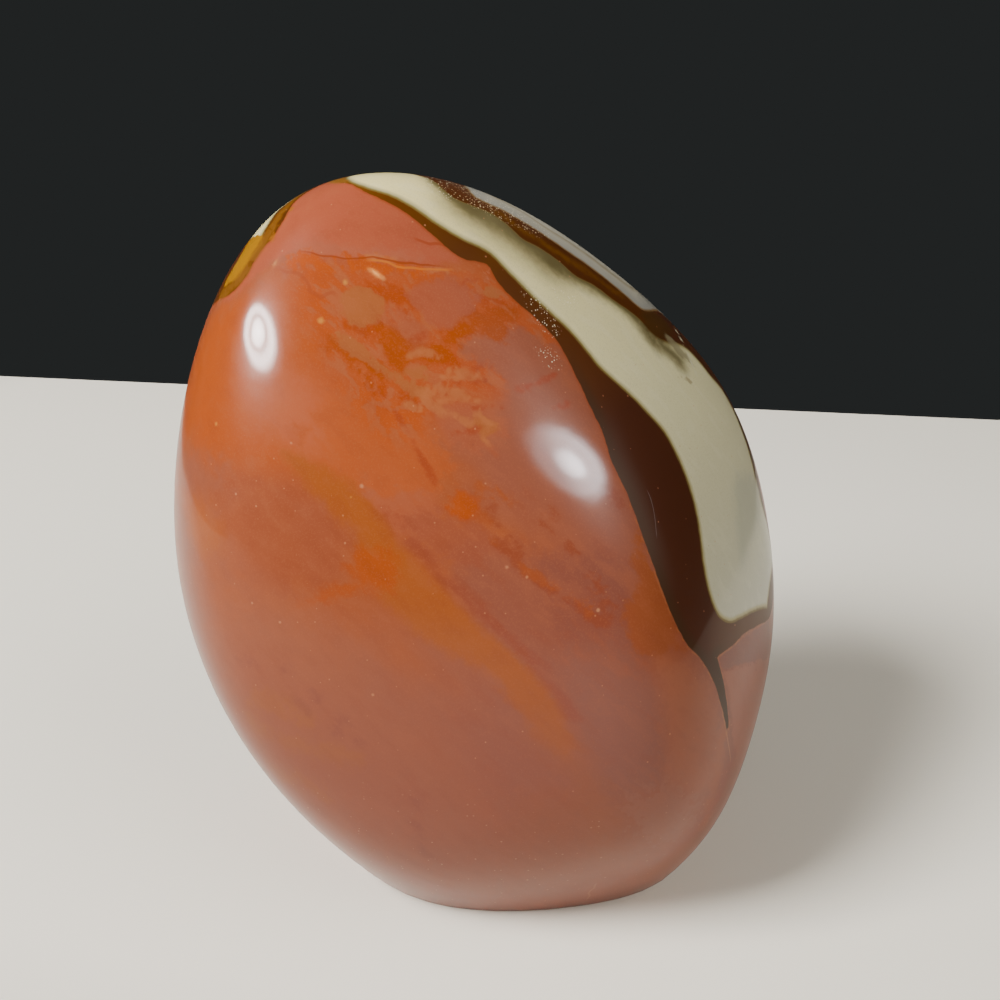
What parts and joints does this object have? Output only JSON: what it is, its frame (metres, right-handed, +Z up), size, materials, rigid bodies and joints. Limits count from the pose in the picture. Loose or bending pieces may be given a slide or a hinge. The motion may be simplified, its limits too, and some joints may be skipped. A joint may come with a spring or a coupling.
{
  "type": "polychrome jasper freeform",
  "caption": "Polished freeform of polychrome jasper: a leaning, egg-shaped stone with soft worn ridges that stands on a small flat foot.",
  "frame": {"origin": "the middle of the flat foot, on the surface that the stone stands on", "axes": "+Z up from the foot to the crown, the broad red front faces -Y, and +X is to the right as seen from the front"},
  "size_m": [0.0686, 0.0467, 0.0785],
  "materials": {
    "polished_jasper": "high polish on brick-red jasper with ochre, pink, cream and dark brown bands"
  },
  "bodies": {
    "root": {"jasper_stone": "polished_jasper"}
  },
  "joints": []
}
